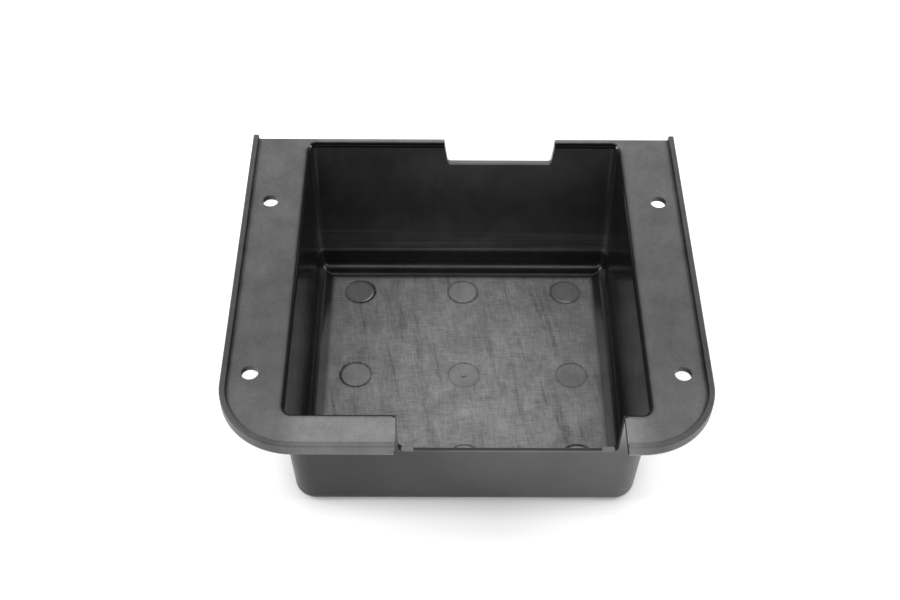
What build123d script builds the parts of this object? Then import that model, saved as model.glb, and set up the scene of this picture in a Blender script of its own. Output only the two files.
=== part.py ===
from build123d import *
import math
import os

# Open-topped moulded tray with a mounting plate on three sides.
# X runs across the tray, Y from the notched front (-) to the leaning rear wall (+), Z up.
# Origin: middle of the bounding box, on the outer bottom face.

# --- mounting plate ---
plate_width = 140.0  # across X, outside to outside
plate_length = 127.0  # along Y, front edge to rear edge
plate_thickness = 1.9
front_corner_radius = 22.0  # plan radius of the two front corners

# --- raised lip on the left, front and right edges of the plate ---
lip_width = 1.8
lip_height = 1.8  # above the plate
lip_top_round = 0.4
lip_foot_round = 0.5

# --- pocket ---
wall = 2.0  # square to every wall face
floor_thickness = 2.0
pocket_depth = 42.5  # plate top to pocket floor
pocket_width = 102.4  # at the plate top
pocket_front_y = -50.3  # inner face of the front wall at the plate top
side_draft = 2.5  # degrees from vertical, sides and front
rear_slope = 22.5  # degrees from vertical, rear wall
inner_corner_round = 2.2  # upright corners of the pocket
outer_corner_round = 6.5  # upright corners of the tub
inner_floor_round = 4.5
outer_floor_round = 3.3
rim_round = 2.3  # pocket mouth
under_plate_round = 1.0  # outer walls to the underside of the plate

# --- notches, both centred on the same line ---
notch_center_x = 12.0
front_notch_width = 64.0  # at the plate top
front_notch_depth = 17.2  # below the plate top
front_notch_draft = 1.0  # degrees
front_notch_corner_round = 2.2
rear_notch_width = 37.0  # at the plate top
rear_notch_depth = 6.8
rear_notch_draft = 11.0  # degrees
rear_notch_corner_round = 1.0

# --- stepped seat along the bottom of the front notch ---
seat_width = 1.55  # of the wall's thickness
seat_depth = 0.5
seat_fall = 0.3  # extra depth at the pocket side
seat_end_land = 4.8  # left full height at each end of the notch

# --- mounting holes in the side plates ---
hole_diameter = 5.0
hole_offset = 0.4  # outward of the middle of the side plate
hole_spacing_y = 70.2
hole_center_y = -1.3

# --- ejector pin marks on the pocket floor ---
mark_diameter = 10.0
mark_depth = 0.2
mark_spacing_x = 35.0
mark_middle_y = -3.0  # middle row
mark_rear_gap = 36.2  # middle row to rear row
mark_front_gap = 32.8  # middle row to front row
gate_diameter = 1.6  # trimmed gate in the middle mark
gate_height = 0.15  # above the pocket floor

overrun = 5.0  # how far cutters pass a face

rear_edge = plate_length / 2
front_edge = -plate_length / 2
plate_top = pocket_depth + floor_thickness
side_run = math.tan(math.radians(side_draft))
rear_run = math.tan(math.radians(rear_slope))
side_wall_flat = wall / math.cos(math.radians(side_draft))
rear_wall_flat = wall / math.cos(math.radians(rear_slope))
pocket_rear_y = rear_edge - rear_wall_flat


def half_width(below, outward):
    # at a depth below the plate top, 0 outward is the walls' inner face
    return pocket_width / 2 - below * side_run + outward * side_wall_flat


def front_face(below, outward):
    return pocket_front_y + below * side_run - outward * side_wall_flat


def rear_face(below, outward):
    return pocket_rear_y - below * rear_run + outward * rear_wall_flat


def drafted_block(top, bottom, outward):
    # front view crossed with side view
    front_view = Polygon(
        (-half_width(bottom, outward), plate_top - bottom),
        (half_width(bottom, outward), plate_top - bottom),
        (half_width(top, outward), plate_top - top),
        (-half_width(top, outward), plate_top - top),
        align=None,
    )
    side_view = Polygon(
        (front_face(bottom, outward), plate_top - bottom),
        (rear_face(bottom, outward), plate_top - bottom),
        (rear_face(top, outward), plate_top - top),
        (front_face(top, outward), plate_top - top),
        align=None,
    )
    along = extrude(Plane.XZ * front_view, plate_length, both=True)
    across = extrude(Plane.YZ * side_view, plate_width, both=True)
    return along & across


def round_floor(block, floor_round):
    return fillet(block.faces().sort_by(Axis.Z)[0].edges(), floor_round)


def round_corners(block, corner_round):
    # the uprights, with any mitre below them
    climbing = [e for e in block.edges() if e.bounding_box().size.Z > wall / 4]
    return fillet(climbing, corner_round)


def plate_outline(inset, past_rear):
    width = plate_width - 2 * inset
    length = plate_length - inset + past_rear
    outline = Pos(0, front_edge + inset + length / 2) * Rectangle(width, length)
    front_corners = outline.vertices().sort_by(Axis.Y)[:2]
    return fillet(front_corners, front_corner_radius - inset)


def plate():
    body = Pos(0, 0, plate_top - plate_thickness) * extrude(plate_outline(0, 0), plate_thickness + lip_height)
    hollow = Pos(0, 0, plate_top) * extrude(plate_outline(lip_width, overrun), lip_height + overrun)
    return body - hollow


def round_lip(body):
    top_z = plate_top + lip_height
    top_edges = [e for e in body.edges() if abs(e.center().Z - top_z) < lip_top_round]
    long_edges = [e for e in top_edges if e.length > 2 * lip_width]
    body = fillet(long_edges, lip_top_round)
    inner_x = plate_width / 2 - lip_width
    foot = [
        e
        for e in body.edges()
        if abs(e.center().Z - plate_top) < lip_foot_round
        and e.length > 2 * lip_width
        and e.center().Y < rear_edge - lip_width
        and max(abs((e @ 0).X), abs((e @ 1).X)) > inner_x - front_corner_radius
    ]
    return fillet(foot, lip_foot_round)


def tub():
    block = round_corners(drafted_block(0, plate_top, 1), outer_corner_round)
    return round_floor(block, outer_floor_round)


def pocket():
    block = round_floor(drafted_block(-overrun, pocket_depth, 0), inner_floor_round)
    return round_corners(block, inner_corner_round)


def round_mouth(body):
    half = pocket_width / 2
    mouth = [
        e
        for e in body.edges()
        if abs(e.center().Z - plate_top) < lip_foot_round / 2
        and abs(e.center().X) < half + wall / 2
        and pocket_front_y - wall / 2 < e.center().Y < rear_edge - wall / 2
    ]
    return fillet(mouth, rim_round)


def round_under_plate(body):
    underside = plate_top - plate_thickness
    root = [
        e
        for e in body.edges()
        if abs(e.center().Z - underside) < plate_thickness / 4
        and abs(e.center().X) < pocket_width / 2 + 2 * wall
        and e.center().Y > pocket_front_y - 2 * wall
        and e.center().Y < rear_edge - wall
    ]
    return fillet(root, under_plate_round)


def notch_profile(width, depth, draft, corner_round):
    # looking along Y, widening past the plate top at the same draft
    run = math.tan(math.radians(draft))
    low = width / 2 - depth * run
    high = width / 2 + overrun * run
    outline = Polygon(
        (-low, -depth),
        (low, -depth),
        (high, overrun),
        (-high, overrun),
        align=None,
    )
    return fillet(outline.vertices().sort_by(Axis.Y)[:2], corner_round)


def notch(profile, front, rear):
    at = Plane(origin=(notch_center_x, rear, plate_top), x_dir=(1, 0, 0), z_dir=(0, -1, 0))
    return extrude(at * profile, rear - front)


def front_notch():
    profile = notch_profile(
        front_notch_width, front_notch_depth, front_notch_draft, front_notch_corner_round
    )
    rear = pocket_front_y + front_notch_depth * side_run + overrun
    return notch(profile, front_edge - overrun, rear)


def rear_notch():
    profile = notch_profile(
        rear_notch_width, rear_notch_depth, rear_notch_draft, rear_notch_corner_round
    )
    front = pocket_rear_y - rear_notch_depth * rear_run - overrun
    return notch(profile, front, rear_edge + overrun)


def front_seat():
    inner = pocket_front_y + front_notch_depth * side_run
    length = front_notch_width - 2 * seat_end_land
    section = Polygon(
        (inner - seat_width, overrun),
        (inner - seat_width, -seat_depth),
        (inner + overrun, -seat_depth - seat_fall * (seat_width + overrun) / seat_width),
        (inner + overrun, overrun),
        align=None,
    )
    at = Plane(
        origin=(notch_center_x - length / 2, 0, plate_top - front_notch_depth),
        x_dir=(0, 1, 0),
        z_dir=(1, 0, 0),
    )
    return extrude(at * section, length)


def mounting_holes():
    hole = Cylinder(hole_diameter / 2, plate_thickness + 2 * overrun)
    tub_side = pocket_width / 2 + side_wall_flat
    hole_spacing_x = tub_side + plate_width / 2 + 2 * hole_offset
    spots = GridLocations(hole_spacing_x, hole_spacing_y, 2, 2)
    return [Pos(0, hole_center_y, plate_top) * spot * hole for spot in spots]


def ejector_marks():
    mark = Cylinder(mark_diameter / 2, mark_depth)
    mark_z = floor_thickness - mark_depth / 2
    rows = (mark_middle_y + mark_rear_gap, mark_middle_y, mark_middle_y - mark_front_gap)
    columns = (-mark_spacing_x, 0, mark_spacing_x)
    return [Pos(x, y, mark_z) * mark for x in columns for y in rows]


def gate():
    height = mark_depth + gate_height
    gate_z = floor_thickness - mark_depth + height / 2
    return Pos(0, mark_middle_y, gate_z) * Cylinder(gate_diameter / 2, height)


def housing():
    body = round_lip(plate())
    body = round_under_plate(body + tub())
    body = round_mouth(body - pocket())
    body = body - front_notch() - rear_notch() - front_seat()
    for cutter in mounting_holes() + ejector_marks():
        body = body - cutter
    return body + gate()


os.makedirs("parts", exist_ok=True)
export_step(housing(), "parts/housing.step")
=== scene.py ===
import math

import bmesh
import bpy
from mathutils import Matrix, Vector

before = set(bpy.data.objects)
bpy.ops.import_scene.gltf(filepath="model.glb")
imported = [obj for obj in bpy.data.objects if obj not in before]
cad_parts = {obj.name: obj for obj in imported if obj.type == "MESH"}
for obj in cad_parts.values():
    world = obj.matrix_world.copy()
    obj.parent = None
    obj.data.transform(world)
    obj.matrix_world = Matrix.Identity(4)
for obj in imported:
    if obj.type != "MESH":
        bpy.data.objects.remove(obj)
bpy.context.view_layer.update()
scene = bpy.context.scene
print("frame loaded")

# camera
view = {
    "focalMm": 54.932,
    "sensorMm": 36.0,
    "clip": (0.01, 10.0),
    "place": (-0.007537, -0.281834, 0.351389),
    "right": (0.99997128, -0.00198332, 0.00731502),
    "down": (0.00338557, -0.7466199, -0.66524226),
    "ahead": (0.00678092, 0.66524792, -0.74659174),
}


def makeCamera(s):
    lens = bpy.data.cameras.new("camera")
    lens.lens = s["focalMm"]
    lens.sensor_width = s["sensorMm"]
    lens.sensor_fit = "HORIZONTAL"
    lens.clip_start, lens.clip_end = s["clip"]
    camera = bpy.data.objects.new("camera", lens)
    scene.collection.objects.link(camera)
    axes = Matrix((s["right"], tuple(-c for c in s["down"]), tuple(-c for c in s["ahead"]))).transposed()
    camera.matrix_world = Matrix.Translation(s["place"]) @ axes.to_4x4()
    scene.camera = camera


makeCamera(view)
print("camera placed")


# node helpers: a value is a number or another node's output
# a ramp is given as from, to and the results there, a band as its middle, half its width and its softness
class Nodes:
    def __init__(self, name):
        self.material = bpy.data.materials.new(name)
        self.material.use_nodes = True
        self.tree = self.material.node_tree
        self.shader = self.tree.nodes["Principled BSDF"]
        self.place = self.add("ShaderNodeTexCoord").outputs["Object"]
        split = self.add("ShaderNodeSeparateXYZ")
        self.link(self.place, split.inputs[0])
        self.x, self.y, self.z = split.outputs

    def add(self, kind, **settings):
        node = self.tree.nodes.new(kind)
        for key, value in settings.items():
            setattr(node, key, value)
        return node

    def link(self, source, socket):
        if hasattr(source, "links"):
            self.tree.links.new(source, socket)
        else:
            socket.default_value = source

    def math(self, operation, *values, clamp=False):
        node = self.add("ShaderNodeMath", operation=operation, use_clamp=clamp)
        for value, socket in zip(values, node.inputs):
            self.link(value, socket)
        return node.outputs[0]

    def chain(self, operation, first, *others):
        for other in others:
            first = self.math(operation, first, other)
        return first

    def total(self, *values):
        return self.chain("ADD", *values)

    def product(self, *values):
        return self.chain("MULTIPLY", *values)

    def most(self, *values):
        return self.chain("MAXIMUM", *values)

    def least(self, *values):
        return self.chain("MINIMUM", *values)

    def minus(self, value, other):
        return self.math("SUBTRACT", value, other)

    def size(self, value):
        return self.math("ABSOLUTE", value)

    def apart(self, value, other):
        return self.size(self.minus(value, other))

    def length(self, across, along):
        return self.math("SQRT", self.total(self.math("POWER", across, 2.0), self.math("POWER", along, 2.0)))

    def ramp(self, value, low, high, outLow=0.0, outHigh=1.0, smooth=True):
        node = self.add("ShaderNodeMapRange", interpolation_type="SMOOTHSTEP" if smooth else "LINEAR")
        for source, socket in zip((value, low, high, outLow, outHigh), node.inputs):
            self.link(source, socket)
        return node.outputs[0]

    def fall(self, value, low, high):
        return self.ramp(value, low, high, 1.0, 0.0)

    def band(self, value, middle, half, soft):
        return self.fall(self.apart(value, middle), half, half + soft)

    def mix(self, value, *pairs):
        # each pair is a mask and what takes over where that mask is 1
        for mask, other in pairs:
            node = self.add("ShaderNodeMix", data_type="FLOAT")
            self.link(mask, node.inputs["Factor"])
            self.link(value, node.inputs["A"])
            self.link(other, node.inputs["B"])
            value = node.outputs["Result"]
        return value

    def noise(self, scale, stretch, turn, detail, rough, move):
        spot = self.add("ShaderNodeMapping", vector_type="TEXTURE")
        self.link(self.place, spot.inputs["Vector"])
        spot.inputs["Location"].default_value = move
        spot.inputs["Rotation"].default_value = (0, 0, turn)
        spot.inputs["Scale"].default_value = tuple(1.0 / c for c in stretch)
        node = self.add("ShaderNodeTexNoise")
        self.link(spot.outputs[0], node.inputs["Vector"])
        node.inputs["Scale"].default_value = scale
        node.inputs["Detail"].default_value = detail
        node.inputs["Roughness"].default_value = rough
        return node.outputs["Fac"]

    def bump(self, height, strength, distance):
        node = self.add("ShaderNodeBump")
        self.link(height, node.inputs["Height"])
        node.inputs["Strength"].default_value = strength
        node.inputs["Distance"].default_value = distance
        return node.outputs[0]


# floor and light
studio = {
    "floorHalf": 1.5,
    "floorGrey": 0.72,
    "floorRough": 0.9,
    "floorGlow": (0.4, 1.1, 0.42, 1.0),  # near and far out, and the glow there
    "contactReach": 0.008,
    "contactSamples": 8,
    "worldGrey": 0.16,
    "lamps": (
        # place, aimed at, size across, size up, watts
        ((0.0, 0.95, 0.85), (0.0, 0.0, 0.02), 1.9, 1.2, 11.0),
        ((0.0, 0.50, 1.1), (0.0, 0.05, 0.02), 1.9, 0.35, 5.0),
        ((-0.85, -0.05, 0.85), (0.0, 0.0, 0.02), 0.5, 0.5, 6.0),
        ((0.85, -0.05, 0.85), (0.0, 0.0, 0.02), 0.5, 0.5, 5.0),
        ((0.0, -0.78, 0.74), (0.0, 0.04, 0.02), 1.6, 0.34, 5.2),
    ),
}


def plainGrey(value):
    return (value, value, value, 1.0)


def makeFloor(s):
    mesh = bpy.data.meshes.new("floor")
    bm = bmesh.new()
    bmesh.ops.create_grid(bm, x_segments=1, y_segments=1, size=s["floorHalf"])
    bm.to_mesh(mesh)
    bm.free()
    floor = bpy.data.objects.new("floor", mesh)
    scene.collection.objects.link(floor)
    kit = Nodes("floor")
    kit.shader.inputs["Base Color"].default_value = plainGrey(s["floorGrey"])
    kit.shader.inputs["Roughness"].default_value = s["floorRough"]
    kit.shader.inputs["Emission Color"].default_value = plainGrey(1.0)
    path = kit.add("ShaderNodeLightPath")
    seen = kit.most(path.outputs["Is Camera Ray"], path.outputs["Is Glossy Ray"])
    # painted contact shadow: the glow is dimmed by ambient occlusion near the housing
    shade = kit.add("ShaderNodeAmbientOcclusion", samples=s["contactSamples"])
    shade.inputs["Distance"].default_value = s["contactReach"]
    glow = kit.product(seen, shade.outputs["AO"], kit.ramp(kit.length(kit.x, kit.y), *s["floorGlow"]))
    kit.link(glow, kit.shader.inputs["Emission Strength"])
    mesh.materials.append(kit.material)


def makeWorld(s):
    world = bpy.data.worlds.new("world")
    world.use_nodes = True
    scene.world = world
    tree = world.node_tree
    around = tree.nodes["Background"]
    around.inputs["Color"].default_value = plainGrey(s["worldGrey"])
    around.inputs["Strength"].default_value = 1.0
    white = tree.nodes.new("ShaderNodeBackground")  # seen by the camera only
    white.inputs["Color"].default_value = plainGrey(1.0)
    white.inputs["Strength"].default_value = 1.0
    path = tree.nodes.new("ShaderNodeLightPath")
    both = tree.nodes.new("ShaderNodeMixShader")
    tree.links.new(path.outputs["Is Camera Ray"], both.inputs[0])
    tree.links.new(around.outputs[0], both.inputs[1])
    tree.links.new(white.outputs[0], both.inputs[2])
    tree.links.new(both.outputs[0], tree.nodes["World Output"].inputs["Surface"])


def makeLamps(s):
    for number, (place, aim, across, up, watts) in enumerate(s["lamps"]):
        light = bpy.data.lights.new("lamp%d" % number, "AREA")
        light.shape = "RECTANGLE"
        light.size = across
        light.size_y = up
        light.energy = watts
        lamp = bpy.data.objects.new("lamp%d" % number, light)
        scene.collection.objects.link(lamp)
        turn = (Vector(aim) - Vector(place)).to_track_quat("-Z", "Y")
        lamp.matrix_world = Matrix.Translation(place) @ turn.to_matrix().to_4x4()


makeFloor(studio)
makeWorld(studio)
makeLamps(studio)
scene.view_settings.view_transform = "Standard"
print("floor and light placed")

# the housing's own lines, metres
shape = {
    "plateTop": 0.0445,
    "plateHalf": 0.070,
    "plateFront": -0.0635,
    "cornerRound": 0.022,
    "holes": ((-0.062, 0.0338), (0.062, 0.0338), (-0.062, -0.0364), (0.062, -0.0364)),
    "pocketHalf": 0.0512,
    "pocketFront": -0.0503,
    "pocketRear": 0.06134,
    "sideRun": 0.04366,  # inward for each metre down
    "rearRun": 0.41421,
    "skinMiddle": 0.0009,  # half way through a wall
    "skinRound": 0.0043,
    "floorHalf": 0.0450,
    "floorFront": -0.0441,
    "floorRear": 0.0407,
}

# where the plate, the walls and the pocket's floor meet, metres
edges = {
    "plateDrop": (0.0022, 0.0030, 0.00043, 0.0018),  # how deep the plate's zone is, by the rim and past it
    "plateSoft": (0.0, 0.0005),
    "rimWide": (0.0026, 0.0028),
    "rimDeep": (0.0012, 0.0016),
    "skinSoft": (-0.0001, 0.0001),
    "insideLow": (0.0008, 0.0012),
    "mitre": (-0.0002, 0.0002),  # between the back wall and the side walls
    "backNear": (-0.0035, -0.0020),
    "backLow": (0.0080, 0.0089),
    "footHigh": (0.0025, 0.0030),
    "floorEdge": (-0.0004, 0.0020),
    "floorHigh": (0.0021, 0.0026),
}

# front notch, metres
notch = {
    "middle": 0.012,
    "front": (-0.0479, -0.0469),  # only ahead of here
    "seatHalf": 0.0272,
    "seatEnds": (0.0, 0.0002),
    "seatFront": (-0.0479, -0.0475),
    "seatWall": (0.0017, 0.0019),
    "seatTop": (0.0269, 0.0270),
    "seatBase": (0.0261, 0.0262),
    "landAcross": (0.0291, 0.0017, 0.0002),
    "landWall": (0.0010, 0.0008, 0.0002),
    "landHeight": (0.0273, 0.0003, 0.0001),
    "endAcross": (0.0319, 0.0009, 0.0002),
    "endWall": (0.0012, 0.0006, 0.0002),
    "endLow": (0.0270, 0.0276),
    "cutAcross": (0.0320, 0.00015, 0.0001),
    "cutDeep": (0.0010, 0.0007, 0.0002),
    "cutWall": (0.0006, 0.0010),
}


def rounded(kit, across, along, out, radius):
    # distance past a corner of this radius, both sides moved out
    offX = kit.total(across, radius - out)
    offY = kit.total(along, radius - out)
    around = kit.length(kit.most(offX, 0.0), kit.most(offY, 0.0))
    straight = kit.least(kit.most(offX, offY), 0.0)
    return kit.minus(kit.total(around, straight), radius)


def plateInset(kit, s):
    # how far in from the plate's outline
    across = kit.minus(kit.size(kit.x), s["plateHalf"])
    along = kit.minus(s["plateFront"], kit.y)
    return kit.product(rounded(kit, across, along, 0.0, s["cornerRound"]), -1.0)


def pocketZones(kit, s, e):
    # each mask is 1 on what it is named for; brow is the rim over the back wall
    below = kit.minus(s["plateTop"], kit.z)
    lean = kit.product(below, s["sideRun"])
    wide = kit.size(kit.x)
    across = kit.total(kit.minus(wide, s["pocketHalf"]), lean)
    front = kit.total(kit.minus(s["pocketFront"], kit.y), lean)
    rear = kit.minus(kit.y, kit.minus(s["pocketRear"], kit.product(below, s["rearRun"])))
    ends = kit.most(front, rear)
    past = kit.most(across, ends)  # out from the pocket's inner face
    skin = rounded(kit, across, ends, s["skinMiddle"], s["skinRound"])
    rise = kit.total(kit.minus(kit.z, s["plateTop"]), kit.ramp(past, *e["plateDrop"]))
    rim = kit.product(kit.fall(past, *e["rimWide"]), kit.fall(below, *e["rimDeep"]))
    inside = kit.product(kit.fall(skin, *e["skinSoft"]), kit.ramp(kit.z, *e["insideLow"]))
    inside = kit.most(inside, rim)
    behind = kit.ramp(kit.minus(rear, across), *e["mitre"])
    within = kit.minus(s["floorHalf"], wide)
    within = kit.least(within, kit.minus(kit.y, s["floorFront"]), kit.minus(s["floorRear"], kit.y))
    bottom = kit.product(kit.ramp(within, *e["floorEdge"]), kit.fall(kit.z, *e["floorHigh"]), inside)
    return {
        "plate": kit.ramp(rise, *e["plateSoft"]),
        "wall": inside,
        "bottom": bottom,
        "back": kit.product(kit.ramp(rear, *e["backNear"]), kit.ramp(kit.z, *e["backLow"])),
        # foot and brow mark where the back wall gets painted shade
        "foot": kit.product(behind, kit.fall(kit.z, *e["footHigh"])),
        "brow": kit.product(behind, rim),
        "past": past,
        "below": below,
    }


def notchZones(kit, s, past, below):
    # the matt seat, the lands at its ends, and the cut ends of the wall and the plate, which get painted
    # shade
    off = kit.apart(kit.x, s["middle"])
    front = kit.fall(kit.y, *s["front"])
    seat = kit.ramp(kit.minus(s["seatHalf"], off), *s["seatEnds"])
    seat = kit.product(seat, kit.fall(kit.y, *s["seatFront"]), kit.fall(past, *s["seatWall"]))
    seat = kit.product(seat, kit.fall(kit.z, *s["seatTop"]), kit.ramp(kit.z, *s["seatBase"]))
    land = kit.product(kit.band(off, *s["landAcross"]), kit.band(past, *s["landWall"]))
    land = kit.product(land, front, kit.band(kit.z, *s["landHeight"]))
    end = kit.product(kit.band(off, *s["endAcross"]), kit.band(past, *s["endWall"]))
    end = kit.product(end, kit.ramp(kit.z, *s["endLow"]))
    cut = kit.product(kit.band(below, *s["cutDeep"]), kit.ramp(past, *s["cutWall"]))
    cut = kit.product(cut, kit.band(off, *s["cutAcross"]))
    return {"seat": seat, "land": land, "end": kit.product(kit.most(end, cut), front)}


# fine textures: scale, stretch, turn about z, detail, roughness, move
textures = {
    "weft": (1.0, (300, 2300, 300), 0.03, 3, 0.6, (0, 0, 0)),
    "warp": (1.0, (2200, 280, 280), 0.08, 3, 0.6, (0.3, 0.7, 0.1)),
    "drag": (1.0, (330, 26, 26), 0.17, 4, 0.6, (0.2, 0.5, 0)),
    "stain": (130, (1.3, 1, 1), 0, 4, 0.6, (0.4, 0.1, 0)),
    "ragged": (900, (1, 1, 1), 0, 2, 0.5, (0, 0, 0)),
    "level": (1.0, (14, 14, 1500), 0, 3, 0.7, (0, 0, 0)),
    "cloud": (95, (1, 1, 1), 0, 5, 0.62, (0.2, 0, 0)),
    "rub": (1.0, (420, 120, 120), -0.12, 4, 0.65, (0, 0, 0)),
    "grain": (2600, (1, 1, 1), 0, 2, 0.5, (0, 0, 0)),
    "nick": (620, (1, 1, 1), 0, 3, 0.75, (0, 0.3, 0)),
    "haze": (60, (1, 1, 1), 0, 4, 0.55, (0.1, 0.3, 0.2)),
}

# pin marks, metres and tones
marks = {
    "radius": 0.0050,
    "discSoft": 0.0003,
    "ring": (0.000208, 0.00052),  # half its width, softness
    "lightSide": 0.35,  # ring on its faint side
    "ragged": (0.25, 0.6, 0.6, 1.0),
    # the crescent is a painted highlight just inside the ring
    "crescentIn": 0.0008,
    "crescent": (0.0002, 0.0003),
    "crescentSide": (0.003, 0.0045),
    "spots": (
        # x, y, disc tone, ring dark, heavier side in degrees, painted highlight on the crescent
        (-0.035, 0.0332, 0.74, 0.90, -40, 1.3),
        (0.0, 0.0332, 1.08, 0.65, -90, 0.1),
        (0.035, 0.0332, 0.74, 0.55, -100, 0.9),
        (-0.035, -0.003, 1.04, 0.85, -130, 0.0),
        (0.0, -0.003, 0.98, 0.25, -90, 0.0),
        (0.035, -0.003, 0.88, 0.35, -60, 0.0),
        (-0.035, -0.0358, 1.0, 0.5, 90, 0.0),
        (0.0, -0.0358, 1.0, 0.25, 90, 0.0),
        (0.035, -0.0358, 1.0, 0.65, 90, 0.3),
    ),
}


def markTones(kit, s, noise):
    # tone of the floor by the pin marks, with a painted highlight crescent inside each ring, and a mask of
    # their discs
    tone, discs = 1.0, 0.0
    radius = s["radius"]
    for x, y, disc, dark, side, light in s["spots"]:
        offX, offY = kit.minus(kit.x, x), kit.minus(kit.y, y)
        away = kit.length(offX, offY)
        angle = math.radians(side)
        toward = kit.total(kit.product(offX, math.cos(angle)), kit.product(offY, math.sin(angle)))
        within = kit.fall(away, radius - s["discSoft"], radius)
        heavy = kit.ramp(toward, -radius, radius, s["lightSide"], 1.0)
        ring = kit.product(kit.band(away, radius, *s["ring"]), heavy, kit.ramp(noise["ragged"], *s["ragged"]))
        # painted highlight: a light crescent just inside the ring on its heavier side
        crescent = kit.band(away, radius - s["crescentIn"], *s["crescent"])
        crescent = kit.product(crescent, kit.ramp(toward, *s["crescentSide"]))
        tone = kit.product(tone, kit.mix(1.0, (within, disc)))
        tone = kit.product(tone, kit.minus(1.0, kit.product(ring, dark)))
        tone = kit.total(tone, kit.product(crescent, light))
        discs = kit.most(discs, within)
    return tone, discs


# pocket floor: crossed fine lines, slanting drag marks, stains, and painted shade darkening it towards the
# back
pocketFloor = {
    "lines": (0.3, 0.7, -1.0, 1.0, False),
    "linesDeep": 0.18,
    "drag": (0.52, 0.70),
    "dragDeep": 0.30,
    "cleanDiscs": 0.75,  # share of the lines that a pin mark lacks
    "stain": (0.3, 0.7, 0.86, 1.14),
    # painted shade: the floor darker towards the back wall
    "rearShade": (-0.022, 0.0, 1.0, 0.88),
}


def floorTone(kit, s, noise):
    markTone, discs = markTones(kit, marks, noise)
    lines = kit.total(kit.ramp(noise["weft"], *s["lines"]), kit.ramp(noise["warp"], *s["lines"]))
    drag = kit.product(kit.ramp(noise["drag"], *s["drag"]), s["dragDeep"])
    lines = kit.minus(kit.product(lines, s["linesDeep"]), drag)
    clear = kit.minus(1.0, kit.product(discs, s["cleanDiscs"]))
    tone = kit.total(1.0, kit.product(lines, clear))
    # stains, and painted shade towards the back
    tone = kit.product(tone, kit.ramp(noise["stain"], *s["stain"]), kit.ramp(kit.y, *s["rearShade"]))
    return kit.product(tone, markTone)


# pocket walls: level polishing lines, closer together low down; on the back wall a painted highlight line,
# painted light lifting it most low down, and painted shade at its foot and on the rim above it
pocketWalls = {
    "lowStart": (0.006, 0.009),
    "lowEnd": (0.014, 0.018),
    "lines": (0.46, 0.66),
    "linesHigh": 0.06,
    "linesLow": 0.55,
    # painted highlight: a light line across the back wall
    "highlightLine": (0.0091, 0.00015, 0.0003),
    "highlightLineBack": (0.2, 0.8),
    "stain": (0.3, 0.7, 0.86, 1.10),
    # painted light: the back wall lighter, most of all low down
    "back": (0.012, 0.024, 3.2, 2.0),
    # painted shade at the foot of the back wall
    "foot": 0.62,
    # painted shade on the rim over the back wall
    "brow": 0.2,
}


def wallTone(kit, s, noise, zones):
    low = kit.product(kit.ramp(kit.z, *s["lowStart"]), kit.fall(kit.z, *s["lowEnd"]))
    lines = kit.product(kit.ramp(noise["level"], *s["lines"]), kit.mix(s["linesHigh"], (low, s["linesLow"])))
    # painted highlight line across the back wall
    highlightLine = kit.product(kit.band(kit.z, *s["highlightLine"]), kit.ramp(zones["back"], *s["highlightLineBack"]))
    tone = kit.total(kit.ramp(noise["stain"], *s["stain"]), lines, highlightLine)
    # painted light and shade: the back wall lighter, its foot and the rim above it darker
    back = kit.ramp(kit.z, *s["back"])
    paintedLight = kit.mix(1.0, (zones["back"], back), (zones["foot"], s["foot"]), (zones["brow"], s["brow"]))
    return kit.product(tone, paintedLight)


# plate: soft scuffs, rubbed streaks, dust by the holes; painted shade on the lip's top and a dark line of
# painted shade at the lip's foot; painted light on the front strip and the rear middle; a painted highlight
# on the outer edge
plateWear = {
    "cloud": (0.3, 0.7, 0.85, 1.15),
    "rub": (0.3, 0.7, 0.95, 1.05),
    "grain": (0.3, 0.7, 0.90, 1.10),
    "lipHigh": (0.0453, 0.0459),
    "lipIn": (0.0002, 0.0005),
    # painted shade on the lip's top
    "lipTopShade": 0.68,
    # painted shade: a dark line along the lip's foot
    "lipFootShade": (0.0021, 0.0002, 0.0004),
    "lipFootShadeDeep": 0.45,
    "nick": (0.66, 0.74),
    "nickLight": 0.9,
    "nickAway": 0.25,  # share of the nicks away from the holes
    "nearHole": (0.0030, 0.0085),
    # painted light: the plate lighter at the very front in the middle and towards the rear, darker towards
    # the sides
    "overall": (-0.052, -0.034, 0.94, 0.77),
    "middle": (0.044, 0.054),  # between the sides
    "front": (-0.052, -0.042, 0.70, 0.0),  # added in the middle only
    "rear": (-0.010, 0.058, 0.0, 0.22, False),
    "rearMiddle": 2.2,  # how much more of it in the middle
    # painted highlight on the plate's outer edge faces
    "outline": (0.0, 0.0002, 1.03, 1.0),
}


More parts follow.
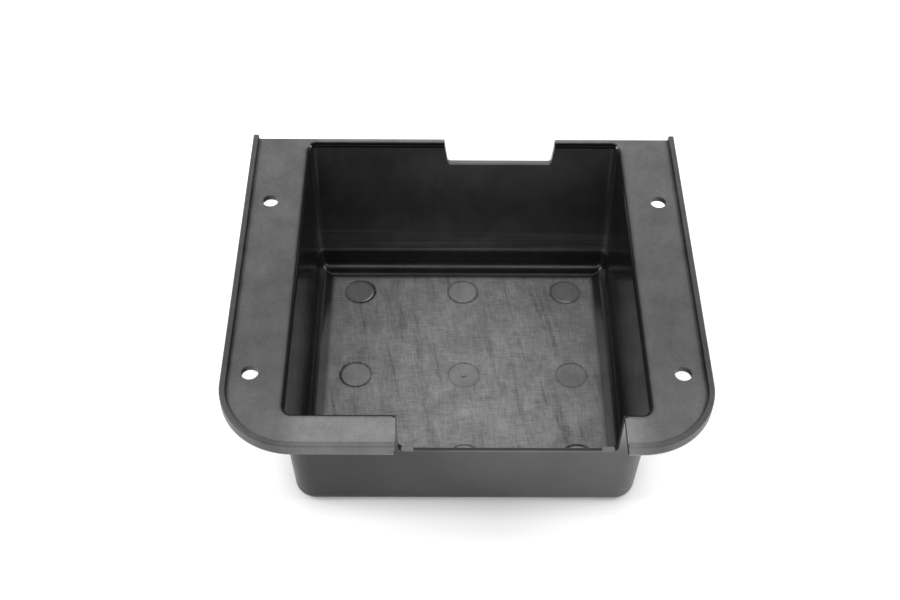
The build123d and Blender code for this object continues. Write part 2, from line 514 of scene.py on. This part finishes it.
def plateTone(kit, s, noise):
    inset = plateInset(kit, shape)
    tone = kit.product(*[kit.ramp(noise[name], *s[name]) for name in ("cloud", "rub", "grain")])
    # painted shade on the lip's top and along its foot
    lip = kit.product(kit.ramp(kit.z, *s["lipHigh"]), kit.ramp(inset, *s["lipIn"]))
    tone = kit.product(tone, kit.mix(1.0, (lip, s["lipTopShade"])))
    tone = kit.minus(tone, kit.product(kit.band(inset, *s["lipFootShade"]), s["lipFootShadeDeep"]))
    near = 0.0
    for x, y in shape["holes"]:
        away = kit.length(kit.minus(kit.x, x), kit.minus(kit.y, y))
        near = kit.most(near, kit.fall(away, *s["nearHole"]))
    nicks = kit.product(kit.ramp(noise["nick"], *s["nick"]), s["nickLight"])
    tone = kit.total(tone, kit.product(nicks, kit.mix(s["nickAway"], (near, 1.0))))
    # painted light: lighter front strip and rear middle, darker sides
    middle = kit.fall(kit.size(kit.x), *s["middle"])
    front = kit.product(kit.ramp(kit.y, *s["front"]), middle)
    rear = kit.product(kit.ramp(kit.y, *s["rear"]), kit.total(kit.product(middle, s["rearMiddle"]), 1.0))
    paintedLight = kit.total(front, rear, kit.ramp(kit.y, *s["overall"]))
    return kit.product(tone, paintedLight, kit.ramp(inset, *s["outline"]))


# outside: smooth, with a faint haze; the front has painted light, lighter up under the plate and darker to
# the left
outside = {
    "haze": (0.3, 0.7, 0.93, 1.07),
    "front": (-0.048, -0.038),
    "upward": (0.026, 0.043, 0.92, 2.9),
    "across": (-0.046, 0.024, 0.42, 0.85),
    "elsewhere": 0.9,
}


def outerTone(kit, s, noise):
    # painted light on the front face: lighter upward, darker to the left
    frontTone = kit.product(kit.ramp(kit.z, *s["upward"]), kit.ramp(kit.x, *s["across"]))
    tone = kit.mix(s["elsewhere"], (kit.fall(kit.y, *s["front"]), frontTone))
    return kit.product(kit.ramp(noise["haze"], *s["haze"]), tone)


# moulded plastic: grey, roughness and shine, a later zone over an earlier one
plastic = {
    "outer": (0.080, 0.33, 0.6),
    "zones": {
        "wall": (0.009, 0.20, 0.30),
        "plate": (0.050, 0.36, 0.5),
        "bottom": (0.136, 0.44, 0.5),
        "seat": (0.022, 0.50, 0.20),
        "land": (0.105, 0.42, 0.45),
        # painted shade on the notch's cut ends
        "end": (0.020, 0.50, 0.12),
    },
    "tint": (1.0, 0.99, 1.03),
    "roughCloud": (0.3, 0.7, -0.04, 0.05),
    "grainRelief": 0.15,
    "plateGrainRelief": 0.45,
    "levelRelief": 0.10,
    "reliefStrength": 0.35,
    "reliefDepth": 0.00004,
}


def makePlastic(s):
    kit = Nodes("housing")
    noise = {name: kit.noise(*row) for name, row in textures.items()}
    zones = pocketZones(kit, shape, edges)
    zones.update(notchZones(kit, notch, zones["past"], zones["below"]))
    tones = {
        "wall": wallTone(kit, pocketWalls, noise, zones),
        "plate": plateTone(kit, plateWear, noise),
        "bottom": floorTone(kit, pocketFloor, noise),
    }
    outerTones = outerTone(kit, outside, noise)
    tone = kit.mix(outerTones, *[(zones[name], tones.get(name, 1.0)) for name in s["zones"]])

    def spread(column):
        return kit.mix(s["outer"][column], *[(zones[name], row[column]) for name, row in s["zones"].items()])

    grey, rough, shine = spread(0), spread(1), spread(2)
    grey = kit.product(grey, tone)
    paint = kit.add("ShaderNodeCombineColor")
    for socket, tint in zip(paint.inputs, s["tint"]):
        kit.link(kit.product(grey, tint), socket)
    kit.link(paint.outputs[0], kit.shader.inputs["Base Color"])
    kit.link(kit.product(shine, tone), kit.shader.inputs["Specular IOR Level"])
    blot = kit.ramp(noise["cloud"], *s["roughCloud"])
    kit.link(kit.math("ADD", rough, blot, clamp=True), kit.shader.inputs["Roughness"])

    grain = kit.mix(s["grainRelief"], (zones["plate"], s["plateGrainRelief"]))
    relief = kit.product(kit.total(noise["weft"], noise["warp"]), zones["bottom"])
    relief = kit.total(relief, kit.product(noise["grain"], grain))
    relief = kit.total(relief, kit.product(noise["level"], zones["wall"], s["levelRelief"]))
    kit.link(kit.bump(relief, s["reliefStrength"], s["reliefDepth"]), kit.shader.inputs["Normal"])
    return kit.material


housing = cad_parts["housing"]
housing.data.materials.clear()
housing.data.materials.append(makePlastic(plastic))
print("plastic ready")
